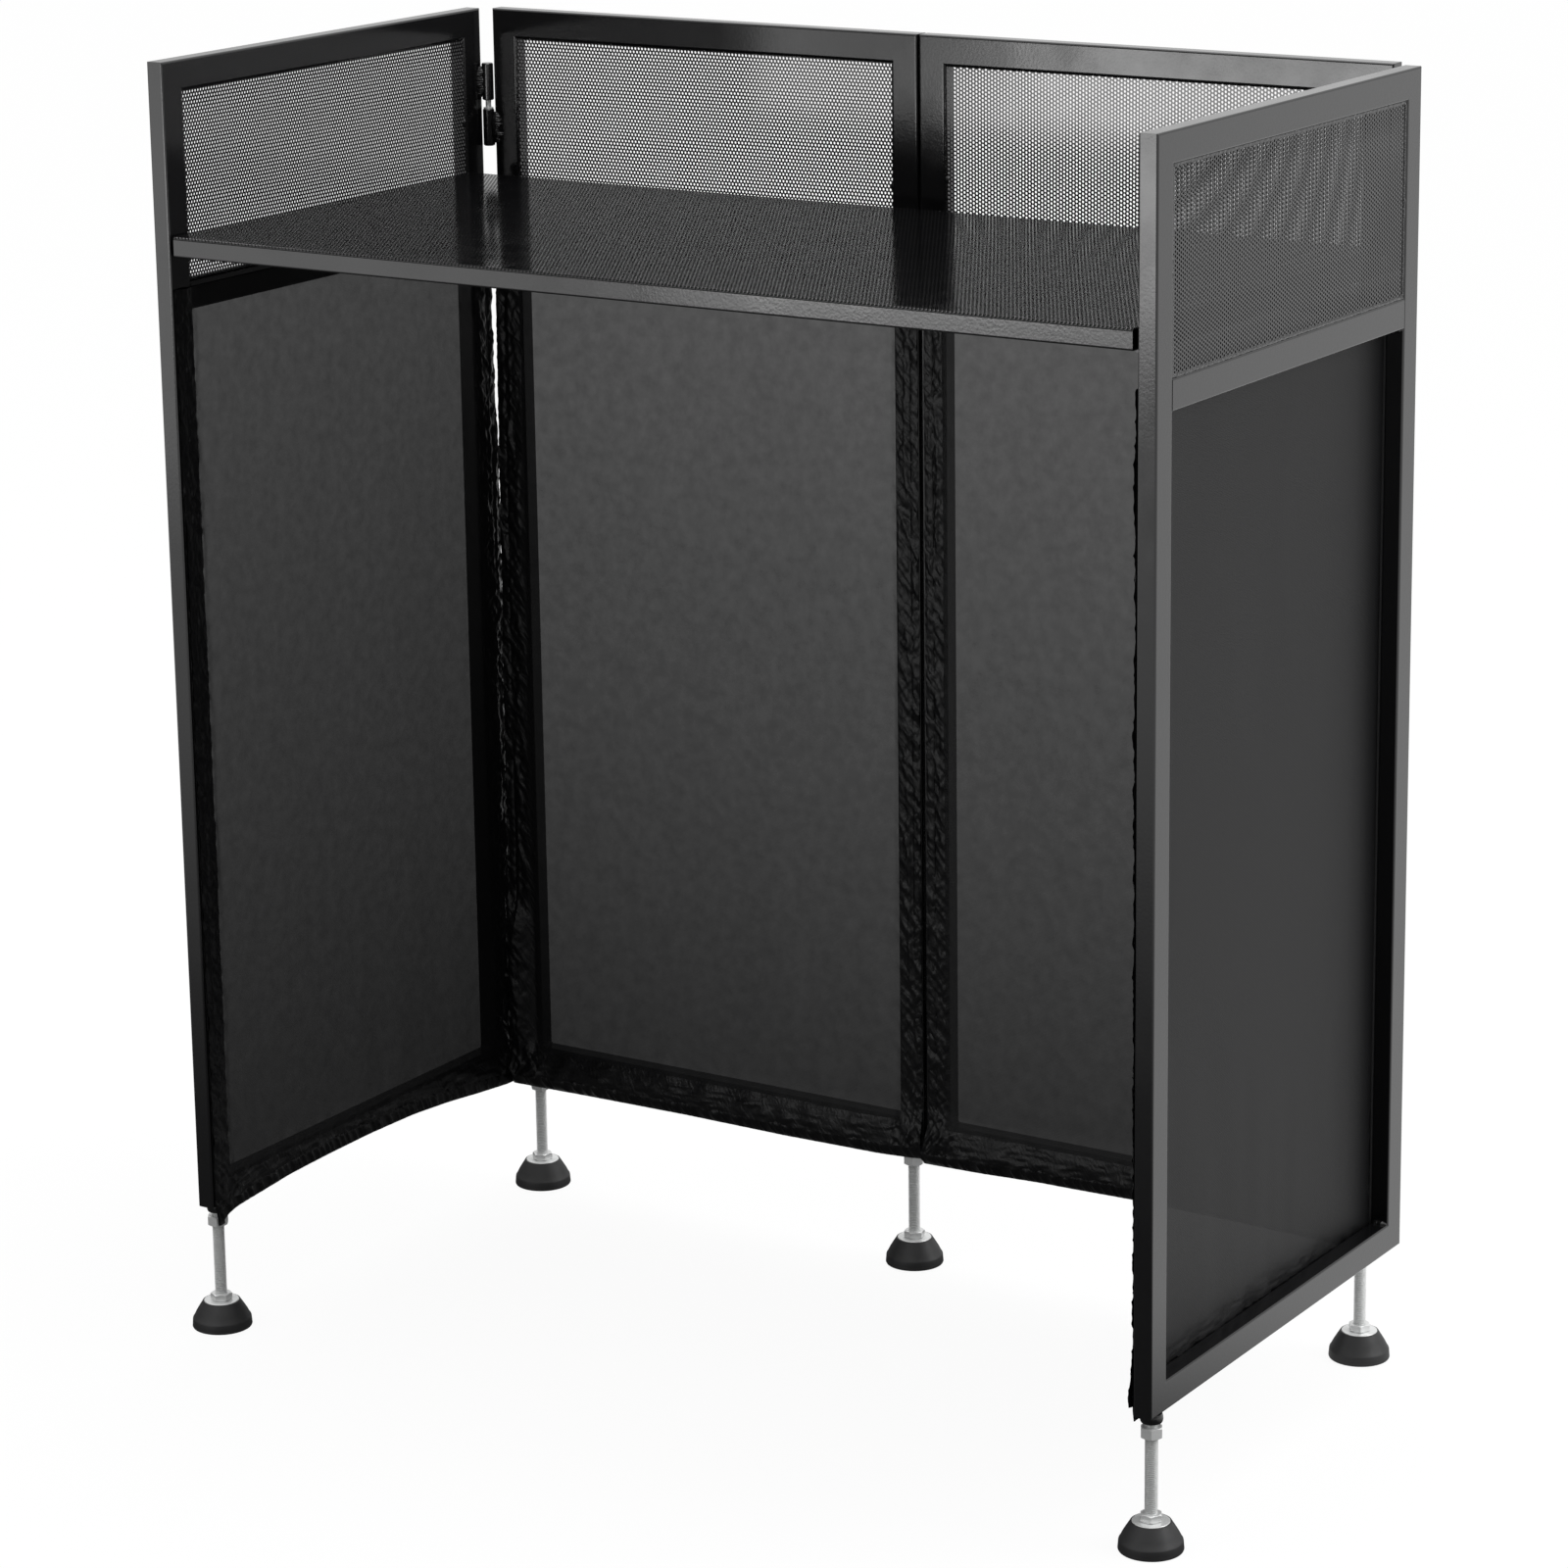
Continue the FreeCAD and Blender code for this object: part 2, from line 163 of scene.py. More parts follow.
lit = addNode(tree, "ShaderNodeEmission", {"Color": (1, 1, 1, 1)}, {"Strength": brighter.outputs[0]})
both = addNode(tree, "ShaderNodeMixShader",
               links={0: path.outputs["Is Camera Ray"], 1: lit.outputs[0], 2: pale.outputs[0]})
addNode(tree, "ShaderNodeOutputMaterial", links={"Surface": both.outputs[0]})
paper.cycles.emission_sampling = "NONE"
floorMesh.materials.append(paper)
print("camera, light and floor set")


# Materials
noiseSpan = {"From Min": 0.3, "From Max": 0.7}      # where most of a noise texture's values lie


def newMaterial(name, values):
    material = bpy.data.materials.new(name)
    material.use_nodes = True
    tree = material.node_tree
    tree.nodes.clear()
    shader = addNode(tree, "ShaderNodeBsdfPrincipled", values)
    addNode(tree, "ShaderNodeOutputMaterial", links={"Surface": shader.outputs[0]})
    place = addNode(tree, "ShaderNodeTexCoord")
    return material, tree, shader, {"Vector": place.outputs["Object"]}


# Sprayed and baked gloss enamel on steel tube: deep black, sharp reflections with a faint orange peel
# The peel is about 1 mm and is drawn at 2.6 mm to show
glossEnamel, tree, shader, place = newMaterial("glossEnamelSteel", {
    "Base Color": hexToLinear("#0c0c0d"), "IOR": 1.52, "Roughness": 0.2})
peel = addNode(tree, "ShaderNodeTexNoise", {"Scale": 1 / (2.6 * mm), "Detail": 1.0, "Roughness": 0.4}, place)
peelBump = addNode(tree, "ShaderNodeBump", {"Strength": 0.09, "Distance": 0.4 * mm}, {"Height": peel.outputs[0]})
cloud = addNode(tree, "ShaderNodeTexNoise", {"Scale": 1 / (70 * mm), "Detail": 4.0, "Roughness": 0.6}, place)
gloss = addNode(tree, "ShaderNodeMapRange", {**noiseSpan, "To Min": 0.1, "To Max": 0.19},
                {"Value": cloud.outputs[0]})
tree.links.new(peelBump.outputs[0], shader.inputs["Normal"])
tree.links.new(gloss.outputs[0], shader.inputs["Roughness"])

# The same enamel over arc welds: lumpier, with a wetter shine
weldEnamel, tree, shader, place = newMaterial("glossEnamelWeld", {
    "Base Color": hexToLinear("#0e0e0f"), "IOR": 1.52, "Roughness": 0.17})
lumps = addNode(tree, "ShaderNodeTexNoise", {"Scale": 1 / (1.6 * mm), "Detail": 2.0}, place)
lumpBump = addNode(tree, "ShaderNodeBump", {"Strength": 0.25, "Distance": 0.4 * mm}, {"Height": lumps.outputs[0]})
tree.links.new(lumpBump.outputs[0], shader.inputs["Normal"])

# Punched steel sheet with a thin enamel coat: shines like the tube, but the holes break its reflections up
sheetEnamel, tree, shader, place = newMaterial("satinEnamelSheet", {
    "Base Color": hexToLinear("#0d0d0e"), "IOR": 1.5, "Roughness": 0.2})
cloud = addNode(tree, "ShaderNodeTexNoise", {"Scale": 1 / (45 * mm), "Detail": 5.0, "Roughness": 0.65}, place)
gloss = addNode(tree, "ShaderNodeMapRange", {**noiseSpan, "To Min": 0.09, "To Max": 0.17},
                {"Value": cloud.outputs[0]})
tree.links.new(gloss.outputs[0], shader.inputs["Roughness"])

# Polyester stretch knit, black: dull and dark over the frame, grey where light comes through its loops
# Its loops are 0.5 mm and are drawn three times as coarse to show
# the last two entries paint shade by height, as (height, share of the see-through)
knit = {"colour": "#0a0a0b", "loop": 1.5 * mm, "clear": 0.082, "closedAt": 0.76,
        "paintedShadeLow": (0.13, 0.28), "paintedLightHigh": (1.06, 1.3)}
scrimKnit, tree, shader, place = newMaterial("polyesterStretchKnit", {
    "Base Color": hexToLinear(knit["colour"]), "IOR": 1.5, "Roughness": 0.5, "Specular IOR Level": 0.15,
    "Sheen Weight": 0.05, "Sheen Roughness": 0.35, "Sheen Tint": hexToLinear("#c4c4c6")})
# a wave texture of scale s has a band every 6.28 / (20 s)
rows = addNode(tree, "ShaderNodeTexWave",
               {"Scale": 1 / (20 * knit["loop"]) * 6.28, "Distortion": 0.6, "Detail": 1.0},
               place, bands_direction="Z")
fuzz = addNode(tree, "ShaderNodeTexNoise", {"Scale": 1 / knit["loop"], "Detail": 2.0}, place)
loops = addNode(tree, "ShaderNodeMath", links={0: rows.outputs["Fac"], 1: fuzz.outputs[0]}, operation="ADD")
loopBump = addNode(tree, "ShaderNodeBump", {"Strength": 0.3, "Distance": 0.3 * mm}, {"Height": loops.outputs[0]})
tree.links.new(loopBump.outputs[0], shader.inputs["Normal"])
facing = addNode(tree, "ShaderNodeLayerWeight", {"Blend": 0.5})
gaps = addNode(tree, "ShaderNodeMapRange",
               {"From Min": 0.0, "From Max": knit["closedAt"], "To Min": knit["clear"], "To Max": 0.0},
               {"Value": facing.outputs["Facing"]})
# painted shade: less background shows through the knit towards the bottom and more towards the top, standing in for
# the shadowed floor behind the booth
height = addNode(tree, "ShaderNodeSeparateXYZ", links=place)
(lowZ, shadedShare), (highZ, litShare) = knit["paintedShadeLow"], knit["paintedLightHigh"]
paintedShadeByHeight = addNode(tree, "ShaderNodeMapRange",
                {"From Min": lowZ, "From Max": highZ, "To Min": shadedShare, "To Max": litShare},
                {"Value": height.outputs["Z"]})
gaps = addNode(tree, "ShaderNodeMath", links={0: gaps.outputs[0], 1: paintedShadeByHeight.outputs[0]}, operation="MULTIPLY")
# and a little uneven, in patches of 14 mm
patch = addNode(tree, "ShaderNodeTexNoise", {"Scale": 1 / (14 * mm), "Detail": 4.0, "Roughness": 0.65}, place)
uneven = addNode(tree, "ShaderNodeMapRange", {**noiseSpan, "To Min": 0.84, "To Max": 1.16},
                 {"Value": patch.outputs[0]})
gaps = addNode(tree, "ShaderNodeMath", links={0: gaps.outputs[0], 1: uneven.outputs[0]}, operation="MULTIPLY")
closed = addNode(tree, "ShaderNodeMath", {0: 1.0}, {1: gaps.outputs[0]}, operation="SUBTRACT")
tree.links.new(closed.outputs[0], shader.inputs["Alpha"])

# The same knit turned over three times and sewn: opaque, with the silky lines of the gathers
hemKnit, tree, shader, place = newMaterial("polyesterKnitHem", {
    "Base Color": hexToLinear("#080809"), "IOR": 1.5, "Roughness": 0.36, "Specular IOR Level": 0.22,
    "Sheen Weight": 0.035, "Sheen Roughness": 0.35, "Sheen Tint": hexToLinear("#c4c4c6")})
# slanting creases of 3 mm, drawn twice as coarse to show
crinkle = {"size": 6.0 * mm, "depth": 2.4 * mm, "lie": Vector((0.5, 0.5, -1)), "stretch": 6.0, "fuzz": 0.06}
fuzz = addNode(tree, "ShaderNodeTexNoise", {"Scale": 1 / knit["loop"], "Detail": 2.0}, place)
lie = Vector((0, 0, 1)).rotation_difference(crinkle["lie"]).to_euler()
drawnOut = addNode(tree, "ShaderNodeMapping", {"Rotation": lie, "Scale": (1, 1, crinkle["stretch"])},
                   place, vector_type="TEXTURE")
rumple = addNode(tree, "ShaderNodeTexNoise", {"Scale": 1 / crinkle["size"], "Detail": 1.5, "Distortion": 0.4},
                 {"Vector": drawnOut.outputs[0]})
middle = addNode(tree, "ShaderNodeMath", {1: 0.5}, {0: rumple.outputs[0]}, operation="SUBTRACT")
creases = addNode(tree, "ShaderNodeMath", links={0: middle.outputs[0]}, operation="ABSOLUTE")
ridges = addNode(tree, "ShaderNodeMath", {1: crinkle["fuzz"]},
                 {0: fuzz.outputs[0], 2: creases.outputs[0]}, operation="MULTIPLY_ADD")
loopBump = addNode(tree, "ShaderNodeBump", {"Strength": 0.42, "Distance": crinkle["depth"]},
                   {"Height": ridges.outputs[0]})
tree.links.new(loopBump.outputs[0], shader.inputs["Normal"])

# Spun polyester sewing thread: a matt black twist
sewingThread, tree, shader, place = newMaterial("spunPolyesterThread", {
    "Base Color": hexToLinear("#202021"), "IOR": 1.5, "Roughness": 0.7})
twist = addNode(tree, "ShaderNodeTexNoise", {"Scale": 1 / (0.8 * mm)}, place)
tone = addNode(tree, "ShaderNodeMapRange", {"To Min": 0.6, "To Max": 0.8}, {"Value": twist.outputs[0]})
tree.links.new(tone.outputs[0], shader.inputs["Roughness"])

# Moulded nylon hook tape: dull black with a fine nap
hookNylon, tree, shader, place = newMaterial("mouldedNylonHookTape", {
    "Base Color": hexToLinear("#1c1c1d"), "IOR": 1.53, "Roughness": 0.6})
hooks = addNode(tree, "ShaderNodeTexVoronoi", {"Scale": 1 / (1.5 * mm)}, place)
hookBump = addNode(tree, "ShaderNodeBump", {"Strength": 0.5, "Distance": 0.4 * mm},
                   {"Height": hooks.outputs["Distance"]})
tree.links.new(hookBump.outputs[0], shader.inputs["Normal"])

# Bright zinc plating on turned and rolled steel, under a milky passivate film: pale grey, cloudy with dull patches
zincPlate, tree, shader, place = newMaterial("brightZincPlatedSteel", {
    "Base Color": hexToLinear("#cfd0d0"), "Metallic": 0.5, "Roughness": 0.36})
cloud = addNode(tree, "ShaderNodeTexNoise", {"Scale": 1 / (6 * mm), "Detail": 4.0, "Roughness": 0.6}, place)
gloss = addNode(tree, "ShaderNodeMapRange", {**noiseSpan, "To Min": 0.28, "To Max": 0.42},
                {"Value": cloud.outputs[0]})
tint = addNode(tree, "ShaderNodeMix", {6: hexToLinear("#e4e5e5"), 7: hexToLinear("#c8c9c8")},
               {0: cloud.outputs[0]}, data_type="RGBA")
tree.links.new(gloss.outputs[0], shader.inputs["Roughness"])
tree.links.new(tint.outputs[2], shader.inputs["Base Color"])

# Moulded rubber: soft black, a fine matt grain and a dull edge light
padRubber, tree, shader, place = newMaterial("mouldedRubber", {
    "Base Color": hexToLinear("#19191a"), "IOR": 1.5, "Roughness": 0.5})
grain = addNode(tree, "ShaderNodeTexNoise", {"Scale": 1 / (0.9 * mm), "Detail": 3.0}, place)
grainBump = addNode(tree, "ShaderNodeBump", {"Strength": 0.2, "Distance": 0.15 * mm}, {"Height": grain.outputs[0]})
cloud = addNode(tree, "ShaderNodeTexNoise", {"Scale": 1 / (14 * mm), "Detail": 3.0}, place)
gloss = addNode(tree, "ShaderNodeMapRange", {**noiseSpan, "To Min": 0.5, "To Max": 0.64},
                {"Value": cloud.outputs[0]})
tree.links.new(grainBump.outputs[0], shader.inputs["Normal"])
tree.links.new(gloss.outputs[0], shader.inputs["Roughness"])

slotMaterial = {"black_frame": glossEnamel, "perforated_sheet": sheetEnamel, "scrim_cloth": hemKnit,
                "hook_tape": hookNylon, "zinc_steel": zincPlate, "pad_rubber": padRubber}
for row in frame["record"]["subparts"]:
    mesh = nodes[row["node"]].data
    mesh.materials.clear()
    mesh.materials.append(slotMaterial[row["material_slot"]])
print("materials made,", len(bpy.data.materials))


# Small mesh helpers
def newPiece(name, verts, faces, material, body, slot, sharp=35.0):
    mesh = bpy.data.meshes.new(name)
    mesh.from_pydata(np.asarray(verts, float).tolist(), [], [list(f) for f in faces])
    mesh.polygons.foreach_set("use_smooth", [True] * len(mesh.polygons))
    mesh.set_sharp_from_angle(angle=math.radians(sharp))
    mesh.materials.append(material)
    piece = bpy.data.objects.new(name, mesh)
    scene.collection.objects.link(piece)
    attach(piece, body)
    return piece


def joined(parts):
    verts, faces = [], []
    for partVerts, partFaces in parts:
        start = len(verts)
        verts += [tuple(v) for v in partVerts]
        faces += [tuple(i + start for i in f) for f in partFaces]
    return verts, faces


def usedOnly(verts, faces):
    # Leaves out the points that none of the faces uses
    order = {}
    faces = [tuple(order.setdefault(i, len(order)) for i in f) for f in faces]
    return [verts[i] for i in order], faces


def wrap(rings):
    # Skins a row of closed rings and closes both ends
    rings = [list(r) for r in rings]
    n = len(rings[0])
    verts = [p for ring in rings for p in ring]
    faces = []
    for k in range(len(rings) - 1):
        for i in range(n):
            j = (i + 1) % n
            faces.append((k * n + i, k * n + j, (k + 1) * n + j, (k + 1) * n + i))
    faces.append(tuple(reversed(range(n))))
    faces.append(tuple(range((len(rings) - 1) * n, len(rings) * n)))
    return verts, faces


def turned(profile, x, y, steps):
    # A closed turned shape: profile is (radius, height) in mm, going round the section anticlockwise
    verts, faces = [], []
    for k in range(steps):
        a = 2 * math.pi * k / steps
        verts += [(x + r * mm * math.cos(a), y + r * mm * math.sin(a), z * mm) for r, z in profile]
    n = len(profile)
    for k in range(steps):
        m = (k + 1) % steps
        for i in range(n):
            j = (i + 1) % n
            quad = [k * n + i, m * n + i, m * n + j, k * n + j]
            if profile[i][0] == 0 and profile[j][0] == 0:
                continue
            if profile[i][0] == 0:
                quad = [k * n + i, m * n + j, k * n + j]
            elif profile[j][0] == 0:
                quad = [k * n + i, m * n + i, k * n + j]
            faces.append(tuple(quad))
    # points that fall together on the axis become one
    used = sorted({i for f in faces for i in f})
    merge, place, keep = {}, {}, []
    for i in used:
        key = tuple(round(c * 1e7) for c in verts[i])
        if key not in place:
            place[key] = len(keep)
            keep.append(verts[i])
        merge[i] = place[key]
    return keep, [tuple(merge[i] for i in f) for f in faces]


# Panels: where each one's inner face starts, which way it runs and which way it faces
panels = {
    "left": {"body": "left_panel", "along": (0, 1, 0), "inward": (1, 0, 0)},
    "front_left": {"body": "front_left_panel", "along": (1, 0, 0), "inward": (0, -1, 0)},
    "front_right": {"body": "front_right_panel", "along": (1, 0, 0), "inward": (0, -1, 0)},
    "right": {"body": "right_panel", "along": (0, -1, 0), "inward": (-1, 0, 0)},
}
for name, panel in panels.items():
    low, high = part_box(name + "_posts")
    half = (high - low) / 2
    along, inward = Vector(panel["along"]), Vector(panel["inward"])
    reach = Vector((abs(along.x), abs(along.y), 0)).dot(half)
    deep = Vector((abs(inward.x), abs(inward.y), 0)).dot(half)
    panel["start"] = (low + high) / 2 - Vector((0, 0, half.z)) - along * reach + inward * deep
    panel["width"], panel["depth"], panel["height"] = 2 * reach, 2 * deep, 2 * half.z
    railLow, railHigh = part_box(name + "_mid_rail")
    panel["railLow"], panel["railHigh"] = railLow.z - low.z, railHigh.z - low.z
    panel["tube"] = railHigh.z - railLow.z


def onPanel(panel, u, z, n):
    # u along the panel, z up from its lower edge, n off its inner face into the booth, all in metres
    spot = panel["start"] + Vector(panel["along"]) * float(u) + Vector((0, 0, float(z)))
    return spot + Vector(panel["inward"]) * float(n)


# Perforated sheets: one cell has a whole hole in its middle and a quarter hole at each corner
perforation = {"pitch": 4.0 * mm, "hole": 2.85 * mm, "thick": 1.0 * mm, "join": 2e-3 * mm,
               "mapFill": 0.98, "mapEdge": 0.005, "mapShift": 0.1 * mm}


def perforatedSheet(name, middle, across, up, width, height, columns, rows, body, openSides):
    # openSides says at which ends of its run another part of the sheet follows, so that no rim is made there
    w, h, r = width / columns, height / rows, perforation["hole"] / 2
    d = r * math.sqrt(0.5)
    cell = [(r, 0), (d, d), (0, r), (w - r, 0), (w - d, d), (w, r),
            (r, h), (d, h - d), (0, h - r), (w - r, h), (w - d, h - d), (w, h - r)]
    cell += [(w / 2 + r * math.cos(k * math.pi / 4), h / 2 + r * math.sin(k * math.pi / 4)) for k in range(8)]
    corners = [(0, 3, 18), (0, 18, 17), (0, 17, 1), (3, 4, 19), (3, 19, 18),
               (6, 14, 9), (6, 15, 14), (6, 7, 15), (9, 13, 10), (9, 14, 13),
               (2, 1, 17), (2, 17, 16), (2, 16, 8), (16, 15, 8), (15, 7, 8),
               (5, 19, 4), (5, 12, 19), (5, 11, 12), (12, 11, 13), (13, 11, 10)]
    steps = np.array([(i * w, j * h) for j in range(rows) for i in range(columns)])
    flat = (steps[:, None, :] + np.array(cell)[None, :, :]).reshape(-1, 2)
    # neighbouring cells share the points on their edges
    _, first, back = np.unique(np.round(flat / perforation["join"]).astype(np.int64), axis=0,
                               return_index=True, return_inverse=True)
    flat = flat[first]
    triangles = back.reshape(len(steps), len(cell))[:, np.array(corners)].reshape(-1, 3)
    edges = np.concatenate([triangles[:, [0, 1]], triangles[:, [1, 2]], triangles[:, [2, 0]]])
    _, index, uses = np.unique(np.sort(edges, axis=1), axis=0, return_index=True, return_counts=True)
    rim = edges[index[uses == 1]]
    for side, at in zip(openSides, (0.0, width)):
        if side:
            rim = rim[~(np.abs(flat[rim][:, :, 0] - at).max(axis=1) < perforation["join"])]
    count = len(flat)
    half = perforation["thick"] / 2
    normal = np.cross(across, up)
    plane = np.array(middle) + np.outer(flat[:, 0] - width / 2, across) + np.outer(flat[:, 1] - height / 2, up)
    verts = np.concatenate([plane + half * normal, plane - half * normal])
    walls = np.stack([rim[:, 0] + count, rim[:, 1] + count, rim[:, 1], rim[:, 0]], axis=1)
    faces = triangles.tolist() + (triangles[:, ::-1] + count).tolist() + walls.tolist()
    piece = newPiece(name, verts, faces, sheetEnamel, body, "perforated_sheet")
    # a flat map of the sheet, for baking its material
    mesh = piece.data
    corner = np.zeros(len(mesh.loops), np.int32)
    mesh.loops.foreach_get("vertex_index", corner)
    uv = np.concatenate([flat, flat + perforation["mapShift"]])[corner] / max(width, height)
    uv = uv * perforation["mapFill"] + perforation["mapEdge"]
    mesh.uv_layers.new(name="OFBake").data.foreach_set("uv", uv.astype(np.float32).ravel())
    return piece


# each window sheet is made in two parts; on the two right-hand panels the rows of holes stand upright
windowParts = 2
rowPitch = perforation["pitch"] * math.sqrt(3)
for name, panel in panels.items():
    low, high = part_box(name + "_mesh")
    upright = name in ("front_right", "right")
    along, up = Vector(panel["along"]), Vector((0, 0, 1))
    width, height = panel["width"] - 2 * panel["tube"], high.z - low.z
    across, over = (up, -along) if upright else (along, up)
    run, rise = (height, width) if upright else (width, height)
    strip = run / windowParts
    for k in range(windowParts):
        middle = (low + high) / 2 + across * (k + 0.5 - windowParts / 2) * strip
        columns, rows = round(strip / perforation["pitch"]), round(rise / rowPitch)
        sheet = perforatedSheet(f"{name}_window_sheet_{k + 1}", middle, across, over, strip, rise, columns, rows,
                                panel["body"], openSides=(k > 0, k < windowParts - 1))
        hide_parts(name + "_mesh")
    print(sheet.name, columns, "by", rows, "cells,", len(sheet.data.polygons), "faces")

# and the table's sheet in seven
tableParts = 7
low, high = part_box("table_sheet")
strip = (high.x - low.x) / tableParts
for k in range(tableParts):
    middle = Vector((low.x + (k + 0.5) * strip, (low.y + high.y) / 2, high.z - perforation["thick"] / 2))
    columns, rows = round(strip / perforation["pitch"]), round((high.y - low.y) / rowPitch)
    sheet = perforatedSheet(f"table_top_sheet_{k + 1}", middle, (1, 0, 0), (0, 1, 0), strip, high.y - low.y,
                            columns, rows, "table", openSides=(k > 0, k < tableParts - 1))
    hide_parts("table_sheet")
print("table sheet in", tableParts, "parts of", len(sheet.data.polygons), "faces")


# Weld beads: a lumpy ridge along a line, lying in the corner between two faces
bead = {"step": 0.7 * mm, "ripple": 2.4 * mm, "tip": 0.35, "sink": 0.25, "bulge": 0.24, "arc": 6,
        "lumpsPerMetre": 260, "swaysPerMetre": 210}


def weldBead(start, end, sideA, sideB, size, seed, lumps=0.22, rise=1.0):
    # sideA and sideB point along the two faces that meet; size is how far the bead reaches over the
    # first, and size times rise over the second
    start, end, sideA, sideB = Vector(start), Vector(end), Vector(sideA), Vector(sideB)
    run = end - start
    count = max(6, round(run.length / bead["step"]))
    rings = []
    for k in range(count + 1):
        t = k / count
        # thin at both ends
        taper = min(1.0, bead["tip"] + 3.5 * min(t, 1 - t) * run.length / (3 * size) / 2)
        s = t * run.length
        # the ripples of the weld pool and its uneven run
        wave = (1 + lumps * (abs(math.sin(math.pi * s / bead["ripple"])) - 0.6)
                + 0.8 * lumps * noise.noise(Vector((s * bead["lumpsPerMetre"], seed, 0.3))))
        reachA = size * taper * wave
        sway = noise.noise(Vector((s * bead["swaysPerMetre"], seed, 4.7)))
        reachB = rise * size * taper * (1 + 0.7 * lumps * sway)
        base = start + run * t
        root = base - (sideA + sideB).normalized() * bead["sink"] * size
        ring = [root]
        for j in range(bead["arc"] + 1):
            a = j / bead["arc"]
            bulge = math.sin(math.pi * a) * bead["bulge"] * size * taper * wave
            point = base + sideA * reachA * (1 - a) + sideB * reachB * a
            ring.append(point + (sideA + sideB).normalized() * bulge)
        rings.append(ring)
    return wrap(rings)


weldDrop = {"rings": 5, "steps": 20, "wobble": 0.16, "lobes": 1.7, "sink": 0.2 * mm}


def lump(centre, normal, along, length, width, height, seed):
    # A low round-ended drop of weld on a face
    centre, normal, along = Vector(centre), Vector(normal), Vector(along)
    across = normal.cross(along)
    verts = [centre + normal * height]
    faces = []
    ringCount, steps, lobes = weldDrop["rings"], weldDrop["steps"], weldDrop["lobes"]
    for r in range(1, ringCount + 1):
        share = r / ringCount
        for k in range(steps):
            a = 2 * math.pi * k / steps
            wobble = noise.noise(Vector((math.cos(a) * lobes, math.sin(a) * lobes, seed)))
            wobble = 1 + weldDrop["wobble"] * wobble
            out = (along * (length / 2 * math.cos(a) * share * wobble)
                   + across * (width / 2 * math.sin(a) * share * wobble))
            lift = height * math.sqrt(max(0.0, 1 - share * share)) - weldDrop["sink"] * share
            verts.append(centre + out + normal * lift)
    for k in range(steps):
        m = (k + 1) % steps
        faces.append((0, 1 + k, 1 + m))
        for r in range(ringCount - 1):
            a, b = 1 + r * steps, 1 + (r + 1) * steps
            faces.append((a + k, b + k, b + m, a + m))
    faces.append(tuple(1 + (ringCount - 1) * steps + k for k in reversed(range(steps))))
    return verts, faces


# Frame welds: a fillet in each inner corner of the windows and openings, and tacks along the window sheets
frameWeld = {"fillet": 3.6 * mm, "inset": 1.2 * mm, "seam": 3.2 * mm, "seamRise": 0.3, "seamLumps": 0.35,
             "innerSeam": 1.3 * mm, "tackLength": 9 * mm, "tackWidth": 4.2 * mm, "tackHeight": 1.7 * mm}
# tacks of the window sheets: place along the panel, height over the mid rail, which way the tack runs
tacks = {
    "left": [(478.5, 96, "up"), (120, 1.0, "along"), (330, 1.0, "along")],
    "front_left": [(90, 1.0, "along"), (300, 1.0, "along"), (478.8, 60, "up")],
    "front_right": [(29.5, 70, "up"), (200, 1.0, "along"), (400, 1.0, "along")],
    "right": [(478.2, 100, "up"), (478.4, 88, "up"), (470, 1.2, "along"), (455, 1.0, "along"),
              (250, 181, "along"), (29.5, 90, "up")],
}
for order, (name, panel) in enumerate(panels.items()):
    along, inward, up = Vector(panel["along"]), Vector(panel["inward"]), Vector((0, 0, 1))
    tube, deep = panel["tube"], panel["depth"]
    parts = []
    for u, sideA in ((tube, along), (panel["width"] - tube, -along)):
        for z, sideB in ((tube, up), (panel["railLow"], -up), (panel["railHigh"], up), (panel["height"] - tube, -up)):
            seed = order * 10 + u * 7 + z * 3
            front, back = onPanel(panel, u, z, -frameWeld["inset"]), onPanel(panel, u, z, frameWeld["inset"] - deep)
            parts.append(weldBead(front, back, sideA, sideB, frameWeld["fillet"], seed))
    low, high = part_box(name + "_mesh")
    middle = (low + high) / 2
    sheetN = (middle - panel["start"]).dot(inward)
    outside = sheetN < -deep / 2
    face = -1 if outside else 1
    surface = sheetN + face * perforation["thick"] / 2
    # the seam round the sheet, heavier where the sheet lies on the outside
    u0, u1, z0, z1 = tube, panel["width"] - tube, panel["railHigh"], panel["height"] - tube
    seam, rise = (frameWeld["seam"], frameWeld["seamRise"]) if outside else (frameWeld["innerSeam"], 1.0)
    for a, b, side in (((u0, z0), (u1, z0), up), ((u0, z1), (u1, z1), -up),
                       ((u0, z0), (u0, z1), along), ((u1, z0), (u1, z1), -along)):
        parts.append(weldBead(onPanel(panel, *a, surface), onPanel(panel, *b, surface), side, inward * face, seam,
                              order * 5 + a[0] + b[1], frameWeld["seamLumps"], rise))
    for n, (u, z, way) in enumerate(tacks[name]):
        run = along if way == "along" else up
        parts.append(lump(onPanel(panel, u * mm, panel["railHigh"] + z * mm, surface), inward * face, run,
                          frameWeld["tackLength"], frameWeld["tackWidth"], frameWeld["tackHeight"], n + 3.3 * order))
    verts, faces = joined(parts)
    newPiece(name + "_frame_welds", verts, faces, weldEnamel, panel["body"], "black_frame", sharp=60)
print("frame welds made")

# Hinges: turned barrels on the two bodies, each with a bead to its own panel
hinge = {"radius": 6.0, "length": 38.0, "chamfer": 0.9, "bore": 3.1, "cap": 5,
         "beadMargin": 3.0, "beadRise": 5.0, "lumps": 0.34}
joints = {j["name"]: j for j in frame["joints"]}


